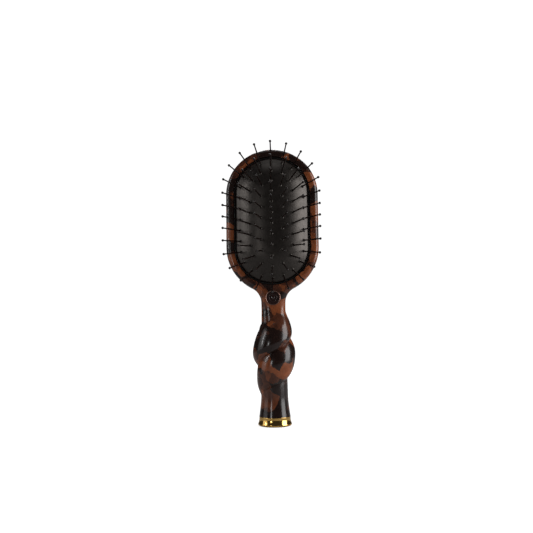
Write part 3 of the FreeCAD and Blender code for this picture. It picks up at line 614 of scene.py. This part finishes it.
# Rows run from the top of the head to the foot; the neck's rows slide from the head's columns
# to the grip's, and its section turns smoothly into the grip's.
def mouldingGrid():
    slideFrom = twist["slideFrom"]
    turnFrom = twist["turnFrom"]
    turnTo = twist["top"]
    levels = mouldingLevels()
    rows = []
    for z in levels:
        middle = twist["lift"] * min(max((z - twist["widest"]) / (twist["top"] - twist["widest"]), 0), 1)
        if z > turnTo:
            x, y = headSection(z)
            if z > slideFrom:
                left = np.stack([-x, y], axis=-1)
                right = np.stack([x, y], axis=-1)
                rows.append((z, np.concatenate([left, right[-2:0:-1]])))
                continue
            headAzimuth = np.mod(np.arctan2(middle - y, -x), 2 * math.pi)
            headRadius = np.hypot(x, y - middle)
            mirrored = 3 * math.pi - headAzimuth
            azimuth = np.concatenate([headAzimuth, mirrored[-2:0:-1]])
            slide = smooth((slideFrom - z) / (slideFrom - twist["slideTo"]))
            azimuth = azimuth + (gripColumns(z) - azimuth) * slide
            folded = np.where(azimuth > 1.5 * math.pi, 3 * math.pi - azimuth, azimuth)
            radius = np.interp(folded, headAzimuth, headRadius)
            turned = smooth((turnFrom - z) / (turnFrom - turnTo))
            radius = radius + (gripRadius(azimuth, z) - radius) * turned
        else:
            azimuth = gripColumns(z)
            radius = gripRadius(azimuth, z)
        rows.append((z, np.stack([radius * np.cos(azimuth), middle - radius * np.sin(azimuth)], axis=-1)))
    azimuth = gripColumns(gripFoot)
    ring = np.stack([np.cos(azimuth), -np.sin(azimuth)], axis=-1)
    for radius, z in ((moulding["seatRadius"], gripFoot), (moulding["seatRadius"], moulding["seatTop"]),
                      (moulding["boreRadius"], moulding["seatTop"]),
                      (moulding["boreRadius"], moulding["boreTop"]), (0.0, moulding["boreTop"])):
        rows.append((z, ring * radius))
    heights = np.array([z for z, _ in rows])
    flat = np.stack([section for _, section in rows])
    grid = np.concatenate([flat, np.broadcast_to(heights[:, None, None], (*flat.shape[:2], 1))], axis=-1)
    return grid, heights


# Rows that are apart in height, or lie in the foot's seat and bore, are joined by faces.
def buildMoulding():
    grid, heights = mouldingGrid()
    faces = gridFaces(*grid.shape[:2])
    apart = np.abs(np.diff(heights)) > 3 * hair
    apart |= heights[1:] < moulding["boreTop"] + 1
    piece = makePiece("moulding", grid, faces[apart], finishes["tortoiseshell"], "handle")
    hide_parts("handle_body")


buildMoulding()

cushion = {
    "skin": 1.5, "domePower": 2.5, "shoulderDrop": 0.8, "turnFrom": 0.9, "turnPull": 4.2,
    "footY": frontFace + 1.0,
}
retainer = {"width": 1.25, "edge": 0.5}
apexY = cushionLow[1]
skirtHalf = -ringLow[0] - retainer["width"] - seatGap
domeHeight = cushion["footY"] - apexY
pins = {
    "outer": 28, "second": 22, "third": 16, "centre": 6, "edgeToPins": 5.2,
    "shank": 0.55, "neck": 0.4675, "taperStart": 6.65, "ball": 0.95, "length": 20.5,
    "headRadius": 1.5, "headTop": -1.9, "headLow": -2.6,
    "leanAcross": 37.0, "leanAlong": 36.5, "acrossPower": 1.05, "alongPower": 2.3, "around": 16,
}
ringStep = (mouthHalf - pins["edgeToPins"]) / 3
ringOrder = ("outer", "second", "third", "centre")


# The dome falls from its middle line by a power of the distance.
def domeY(offset):
    return apexY + domeHeight * (offset / skirtHalf) ** cushion["domePower"]


# The slope of that power curve.
def domeSlope(offset):
    return domeHeight / skirtHalf * cushion["domePower"] * (offset / skirtHalf) ** (cushion["domePower"] - 1)


# The skin's section: dome, a turn on a cubic curve into the upright skirt, lip, and back inside.
def cushionSection():
    skin = cushion["skin"]
    low = cushion["turnFrom"] * skirtHalf
    turnedY = cushion["footY"] + cushion["shoulderDrop"]
    offsets = np.linspace(0, low, 34)
    normal = np.stack([domeSlope(offsets), -np.ones_like(offsets)]) / np.hypot(domeSlope(offsets), 1)
    lipY = ringHigh[1]
    sections = []
    for depth in (0, skin):
        x = offsets - normal[0] * depth
        y = domeY(offsets) - normal[1] * depth
        slope = domeSlope(low)
        pull = cushion["turnPull"]
        s = np.linspace(0, 1, 15)[1:]
        start = (x[-1], y[-1])
        end = (skirtHalf - depth, turnedY)
        lead = (pull / math.hypot(1, slope), pull * slope / math.hypot(1, slope))
        turned = []
        for axis, tail in ((0, 0.0), (1, pull)):
            turned.append((2 * s**3 - 3 * s**2 + 1) * start[axis] + (s**3 - 2 * s**2 + s) * lead[axis]
                          + (3 * s**2 - 2 * s**3) * end[axis] + (s**3 - s**2) * tail)
        sections.append((np.concatenate([x, turned[0]]), np.concatenate([y, turned[1]])))
    (outerX, outerY), (innerX, innerY) = sections
    ledgeY = cushionHigh[1]
    footX = [skirtHalf, skirtHalf, lipHalf, lipHalf, skirtHalf - skin]
    footY = [(turnedY + lipY) / 2, lipY, lipY, ledgeY, ledgeY]
    return np.concatenate([outerX, footX, innerX[::-1]]), np.concatenate([outerY, footY, innerY[::-1]])


# Where a ring's pins stand and lean: even runs round the stadium at the ring's distance,
# starting at the top, clockwise as the pins are seen.
def pinPlaces(ring):
    offset = ringStep * (3 - ringOrder.index(ring))
    count = pins[ring]
    i = np.arange(count)
    if offset == 0:
        x = np.zeros(count)
        z = straight * (1 - 2 * i / (count - 1))
    else:
        side = 2 * straight
        bend = math.pi * offset
        run = (2 * (side + bend) * i / count + bend / 2) % (2 * (side + bend))
        topTurn = math.pi - run / offset
        lowTurn = -(run - bend - side) / offset
        parts = [run < bend, run < bend + side, run < 2 * bend + side]
        x = np.select(parts, [offset * np.cos(topTurn), offset, offset * np.cos(lowTurn)], -offset)
        z = np.select(parts, [straight + offset * np.sin(topTurn), straight - (run - bend),
                              -straight + offset * np.sin(lowTurn)], -straight + run - 2 * bend - side)
    across = np.abs(x) / (3 * ringStep)
    along = np.abs(z) / (3 * ringStep + straight)
    sideways = math.sin(math.radians(pins["leanAcross"])) * across ** pins["acrossPower"] * np.sign(x)
    upwards = math.sin(math.radians(pins["leanAlong"])) * along ** pins["alongPower"] * np.sign(z)
    direction = np.stack([sideways, -np.sqrt(1 - sideways**2 - upwards**2), upwards], axis=-1)
    root = np.stack([x, np.full(count, domeY(offset)), padMiddle + z], axis=-1)
    reachZ = z - np.clip(z, -straight, straight)
    away = np.stack([x, reachZ], axis=-1) / max(offset, hair)
    slope = domeSlope(offset)
    normal = np.stack([away[:, 0] * slope, -np.ones(count), away[:, 1] * slope], axis=-1)
    normal /= np.linalg.norm(normal, axis=-1, keepdims=True)
    return root, direction, normal


# Rings of (radius, height) round each axis: circles in the plane square to the axis.
def turnedRound(roots, axes, radii, heights, steps, planes=None):
    planes = axes if planes is None else planes
    helper = np.array([0.0, 0.0, 1.0])
    sideA = np.cross(planes, helper)
    sideA /= np.linalg.norm(sideA, axis=-1, keepdims=True)
    sideB = np.cross(planes, sideA)
    turn = np.linspace(0, 2 * math.pi, steps, endpoint=False)
    circle = sideA[:, None, :] * np.cos(turn)[None, :, None] + sideB[:, None, :] * np.sin(turn)[None, :, None]
    centre = roots[:, None, None, :] + axes[:, None, None, :] * np.asarray(heights)[None, :, None, None]
    return centre + circle[:, None, :, :] * np.asarray(radii)[None, :, None, None]


# The quads of one grid, again for each copy.
def copiesFaces(copies, rows, columns, closedRows=False):
    one = gridFaces(rows, columns, True, closedRows).reshape(-1, 4)
    return (one[None] + (np.arange(copies) * rows * columns)[:, None, None]).reshape(-1, 4)


collar = {
    "footRadius": 1.75, "tipRadius": 0.60, "boreRadius": 0.56, "foot": -0.25, "tip": 0.70,
    "boreTop": 0.62, "sunk": -0.6, "flarePower": 2.2, "around": 18,
}


# Small moulded collars in which the pins stand: a concave flare from the skin up to the pin,
# whose radius falls by a power of the height, then down the bore and out under the skin.
def collars():
    places = [pinPlaces(ring) for ring in ringOrder]
    root = np.concatenate([p[0] for p in places])
    direction = np.concatenate([p[1] for p in places])
    normal = np.concatenate([p[2] for p in places])
    s = np.linspace(0, 1, 7)
    bore = collar["boreRadius"]
    spread = (collar["footRadius"] - collar["tipRadius"]) * (1 - s) ** collar["flarePower"]
    flare = collar["tipRadius"] + spread
    climb = collar["foot"] + (collar["tip"] - collar["foot"]) * s
    radii = np.concatenate([flare, [bore, bore, collar["footRadius"]]])
    heights = np.concatenate([climb, [collar["boreTop"], collar["sunk"], collar["sunk"]]])
    axis = normal + direction
    axis /= np.linalg.norm(axis, axis=-1, keepdims=True)
    points = turnedRound(root, direction, radii, heights, collar["around"], axis)
    return points.reshape(-1, 3), copiesFaces(len(root), len(radii), collar["around"], True)


# Skin and collars in one piece.
def buildCushion():
    offsets, depths = cushionSection()
    grid = stadiumSweep(offsets, depths)
    faces = gridFaces(*grid.shape[:2]).reshape(-1, 4)
    base = grid.reshape(-1, 3)
    more, moreFaces = collars()
    points = np.concatenate([base, more])
    allFaces = np.concatenate([faces, moreFaces + len(base)])
    piece = makePiece("cushion", points, allFaces, finishes["cushion_rubber"])
    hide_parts("cushion_pad")
    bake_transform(piece)


buildCushion()


# The retaining ring: a strip with its two front edges quarter round.
def buildRing():
    outer = ringHigh[0]
    inner = outer - retainer["width"]
    front = ringLow[1]
    foot = ringHigh[1]
    edge = retainer["edge"]
    turn = np.linspace(0, math.pi / 2, 6)
    offsets = [inner, *(inner + edge * (1 - np.cos(turn))), *(outer - edge * (1 - np.sin(turn))), outer]
    depths = [foot, *(front + edge * (1 - np.sin(turn))), *(front + edge * (1 - np.cos(turn))), foot]
    grid = stadiumSweep(offsets, depths)
    faces = gridFaces(*grid.shape[:2], True, True)
    piece = makePiece("retaining_ring", grid, faces, finishes["black_gloss"], "handle")
    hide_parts("pad_ring")
    return piece


buildRing()


# A pin from its flat head: shank, slow taper to the neck, ball on an arc.
def pinSection():
    ball = pins["ball"]
    centre = pins["length"] - ball
    start = math.asin(pins["neck"] / ball)
    turn = np.linspace(math.pi - start, 0, 10)
    radii = [0, pins["headRadius"], pins["headRadius"], pins["shank"], pins["shank"], pins["shank"]]
    heights = [pins["headLow"], pins["headLow"], pins["headTop"], pins["headTop"], 0, pins["taperStart"]]
    return np.array([*radii, *(ball * np.sin(turn))]), np.array([*heights, *(centre + ball * np.cos(turn))])


# All pins of a ring, or those on one side, as one piece.
def buildPins(node, body, ring, part):
    root, direction, _ = pinPlaces(ring)
    half = len(root) // 2
    chosen = {"all": slice(None), "right": slice(0, half), "left": slice(half, None)}[part]
    radii, heights = pinSection()
    points = turnedRound(root[chosen], direction[chosen], radii, heights, pins["around"])
    faces = copiesFaces(len(root[chosen]), len(radii), pins["around"])
    piece = makePiece(f"{ring}_{part}_pins", points, faces, finishes["pin_nylon"], body)
    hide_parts(node)


for node, body, ring, part in (
    ("pins_centre", "centre_pins", "centre", "all"), ("pins_third", "third_pins", "third", "all"),
    ("pins_second_right", "second_pins_right", "second", "right"),
    ("pins_second_left", "second_pins_left", "second", "left"),
    ("pins_outer_right", "outer_pins_right", "outer", "right"),
    ("pins_outer_left", "outer_pins_left", "outer", "left"),
):
    buildPins(node, body, ring, part)

medallion = {"flutes": 24, "fluteDepth": 0.02, "bossRadius": 1.2, "ringRadius": 2.75, "ringHalf": 0.28,
             "rise": 0.28, "inner": discHigh[0], "sunk": 0.05, "ringRise": 0.7, "fluteGap": 0.15,
             "fluteEase": 0.3, "rimGap": 0.1, "fieldFrom": 1.3, "fieldTo": 2.4, "bandFrom": 3.15,
             "rimWidth": 0.75, "around": 192}
discZ = (rimLow[2] + rimHigh[2]) / 2


# Rings of radius round the medallion's middle, each point's depth given by a function.
def polar(radii, steps, depth):
    turn = np.linspace(0, 2 * math.pi, steps, endpoint=False)
    radii = np.asarray(radii)[:, None]
    x = radii * np.cos(turn)
    z = discZ + radii * np.sin(turn)
    y = depth(radii + 0 * turn, turn + 0 * radii)
    return np.stack([x, y, z], axis=-1)


# The disc: a domed boss, a half-round ring, and a band of fine flutes out to the rim.
def buildDisc():
    field = frontFace - medallion["sunk"]
    fluteFrom = medallion["ringRadius"] + medallion["ringHalf"] + medallion["fluteGap"]
    inner = medallion["inner"]

    def depth(r, turn):
        boss = medallion["rise"] * np.sqrt(np.maximum(1 - (r / medallion["bossRadius"]) ** 2, 0))
        beside = (r - medallion["ringRadius"]) / medallion["ringHalf"]
        ring = medallion["ringRise"] * medallion["rise"] * np.sqrt(np.maximum(1 - beside**2, 0))
        ease = medallion["fluteEase"]
        band = smooth((r - fluteFrom) / ease) * smooth((inner - medallion["rimGap"] - r) / ease)
        flutes = medallion["fluteDepth"] * np.abs(np.cos(medallion["flutes"] / 2 * turn)) * band
        return field - boss - ring - flutes

    ringRadius = medallion["ringRadius"]
    ringHalf = medallion["ringHalf"]
    radii = np.concatenate([
        np.linspace(0, medallion["bossRadius"], 12),
        np.linspace(medallion["fieldFrom"], medallion["fieldTo"], 5),
        np.linspace(ringRadius - ringHalf, ringRadius + ringHalf, 13),
        np.linspace(medallion["bandFrom"], inner, 14),
    ])
    face = polar(radii, medallion["around"], depth)
    back = discHigh[1]
    wall = polar([inner, 0.0], medallion["around"], lambda r, turn: np.full(r.shape, back))
    grid = np.concatenate([face, wall])
    piece = makePiece("medallion_face", grid, gridFaces(*grid.shape[:2]), finishes["dark_enamel"],
                      "handle")
    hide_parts("medallion_disc")


# The rim: a half-round bead on a thin band.
def buildRim():
    outer = rimHigh[0]
    inner = outer - medallion["rimWidth"]
    front = rimLow[1]
    bead = (outer - inner) / 2
    turn = np.linspace(0, math.pi, 13)
    radii = np.concatenate([[inner], inner + bead * (1 - np.cos(turn)), [outer]])
    depths = np.concatenate([[rimHigh[1]], front + bead * (1 - np.sin(turn)), [rimHigh[1]]])
    grid = polar(radii, 128, lambda r, angle: np.broadcast_to(depths[:, None], r.shape))
    piece = makePiece("medallion_bead", grid, gridFaces(*grid.shape[:2], True, True), finishes["rim_metal"],
                      "handle")
    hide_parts("medallion_rim")


buildDisc()
buildRim()

cap = {"topHalf": 11.7, "top": 6.8, "footRound": 1.4, "lip": 0.22, "spigot": 6.9, "studRadius": 2.5,
       "boreEnd": 5.0, "flare": 0.35, "hollow": 0.25, "dishFlat": 6.0, "dishTurn": 9.6, "dishShare": 0.8,
       "soleRim": 0.7, "soleLift": 0.02, "around": 160}


# The cap: a slightly dished sole, a full round at the edge, and a gently waisted side.
def buildCap():
    foot = capHigh[0]
    edge = cap["footRound"]
    soleTurn = np.linspace(-math.pi / 2, 0, 12)
    soleX = [0, cap["dishFlat"], cap["dishTurn"], foot - edge - cap["soleRim"]]
    soleZ = [cap["hollow"], cap["hollow"], cap["hollow"] * cap["dishShare"], cap["soleLift"]]
    roundX = foot - edge + edge * np.cos(soleTurn)
    roundZ = edge + edge * np.sin(soleTurn)
    s = np.linspace(0, 1, 14)[1:]
    sideX = foot + (cap["topHalf"] - foot) * s - cap["flare"] * np.sin(math.pi * s)
    sideZ = edge + (cap["top"] - cap["lip"] - edge) * s
    lipTurn = np.linspace(0, math.pi / 2, 5)[1:]
    lipX = cap["topHalf"] - cap["lip"] * (1 - np.cos(lipTurn))
    lipZ = cap["top"] - cap["lip"] + cap["lip"] * np.sin(lipTurn)
    tailX = [cap["spigot"], cap["spigot"], cap["studRadius"], cap["studRadius"], 0]
    tailZ = [cap["top"], capHigh[2], capHigh[2], cap["boreEnd"], cap["boreEnd"]]
    radii = np.concatenate([soleX, roundX, sideX, lipX, tailX])
    heights = np.concatenate([soleZ, roundZ, sideZ, lipZ, tailZ])
    grid = lathe(radii, heights, cap["around"])
    piece = makePiece("foot_cap", grid, gridFaces(*grid.shape[:2]), finishes["gold_plate"],
                      "handle")
    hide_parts("end_cap")


buildCap()

for node, finish in (("cap_stud", "bright_steel"), ("threaded_insert", "insert_brass")):
    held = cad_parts[node]
    if not held.material_slots:
        held.data.materials.append(finishes[finish])
    for slot in held.material_slots:
        slot.material = finishes[finish]
print("pieces made")

# eye and aim in millimetres, roll in degrees
view = {"eye": (14.3, -463.2, 72.3), "aim": (-4.6, -7.0, 118.6), "roll": -0.75, "lens": 41.0, "sensor": 36.0}


# The camera looks from eye to aim, then rolls about that line.
def buildCamera():
    camera = bpy.data.cameras.new("camera")
    camera.lens = view["lens"]
    camera.sensor_width = view["sensor"]
    holder = bpy.data.objects.new("camera", camera)
    eye = Vector(view["eye"]) * metre
    aim = Vector(view["aim"]) * metre
    turn = (aim - eye).to_track_quat("-Z", "Y").to_matrix().to_4x4()
    roll = Matrix.Rotation(math.radians(view["roll"]), 4, "Z")
    holder.matrix_world = Matrix.Translation(eye) @ turn @ roll
    bpy.context.scene.collection.objects.link(holder)
    bpy.context.scene.camera = holder


lamps = {
    # place, aim, width and height in metres, watts
    "right_box": ((0.64, -0.17, 0.22), (0.0, 0.0, 0.14), 0.42, 0.80, 4.6),
    "left_box": ((-0.64, -0.17, 0.22), (0.0, 0.0, 0.14), 0.42, 0.80, 0.85),
    "left_strip": ((-0.66, -0.26, 0.36), (0.0, 0.0, 0.16), 0.03, 0.40, 0.6),
    "top_box": ((0.0, -0.10, 0.95), (0.0, 0.0, 0.10), 0.50, 0.30, 0.35),
    "back_box": ((0.10, 0.55, 0.80), (0.0, 0.0, 0.12), 0.60, 0.40, 3.0),
    "front_strip": ((-0.42, -0.86, 0.16), (0.0, 0.0, 0.06), 0.09, 0.22, 0.45),
}


# Soft rectangular lamps, each turned to face its aim.
def buildLights():
    for name, (place, aim, width, height, power) in lamps.items():
        lamp = bpy.data.lights.new(name, "AREA")
        lamp.shape = "RECTANGLE"
        lamp.size = width
        lamp.size_y = height
        lamp.energy = power
        holder = bpy.data.objects.new(name, lamp)
        holder.location = place
        holder.rotation_euler = (Vector(aim) - Vector(place)).to_track_quat("-Z", "Y").to_euler()
        holder.visible_camera = False
        bpy.context.scene.collection.objects.link(holder)


studioWorld = {"seen": 1.05, "cast": 0.03}


# White all round: bright where it is seen directly, dim in the light that it casts.
def buildWorld():
    world = bpy.data.worlds.new("studio")
    bpy.context.scene.world = world
    world.use_nodes = True
    tree = world.node_tree
    seen = tree.nodes["Background"]
    seen.inputs["Color"].default_value = (1, 1, 1, 1)
    seen.inputs["Strength"].default_value = studioWorld["seen"]
    around = tree.nodes.new("ShaderNodeBackground")
    around.inputs["Color"].default_value = (1, 1, 1, 1)
    around.inputs["Strength"].default_value = studioWorld["cast"]
    path = tree.nodes.new("ShaderNodeLightPath")
    mix = tree.nodes.new("ShaderNodeMixShader")
    tree.links.new(path.outputs["Is Camera Ray"], mix.inputs[0])
    tree.links.new(around.outputs[0], mix.inputs[1])
    tree.links.new(seen.outputs[0], mix.inputs[2])
    tree.links.new(mix.outputs[0], tree.nodes["World Output"].inputs[0])


studioFloor = {
    "half": 2.5, "drop": 0.00002, "grey": 0.45, "roughness": 0.6, "cast": 0.03,
    "near": 0.10, "far": 0.55, "nearGlow": 0.86, "farGlow": 1.1,
}


# A pale square under the foot, whose glow rises with the distance from the brush.
def buildFloor():
    look = studioFloor
    half = look["half"]
    low = -look["drop"]
    mesh = bpy.data.meshes.new("floor")
    corners = [(-half, -half, low), (half, -half, low), (half, half, low), (-half, half, low)]
    mesh.from_pydata(corners, [], [(0, 1, 2, 3)])
    m = Maker("studio_floor")
    m.set(colour=(look["grey"],) * 3 + (1,), roughness=look["roughness"], specular=0.0)
    m.shader.inputs["Emission Color"].default_value = (1, 1, 1, 1)
    away = m.add("ShaderNodeVectorMath", {"operation": "LENGTH"}, n0=m.place).outputs["Value"]
    glow = m.add("ShaderNodeMapRange", n0=away, n1=look["near"], n2=look["far"],
                 n3=look["nearGlow"], n4=look["farGlow"]).outputs[0]
    seen = m.add("ShaderNodeLightPath").outputs["Is Camera Ray"]
    share = m.add("ShaderNodeMapRange", n0=seen, n1=0.0, n2=1.0, n3=look["cast"], n4=1.0).outputs[0]
    m.tree.links.new(m.math("MULTIPLY", glow, share), m.shader.inputs["Emission Strength"])
    mesh.materials.append(m.material)
    floor = bpy.data.objects.new("floor", mesh)
    bpy.context.scene.collection.objects.link(floor)


buildCamera()
buildLights()
buildWorld()
buildFloor()
bpy.context.scene.view_settings.view_transform = "Standard"
print("camera, lights and floor made")
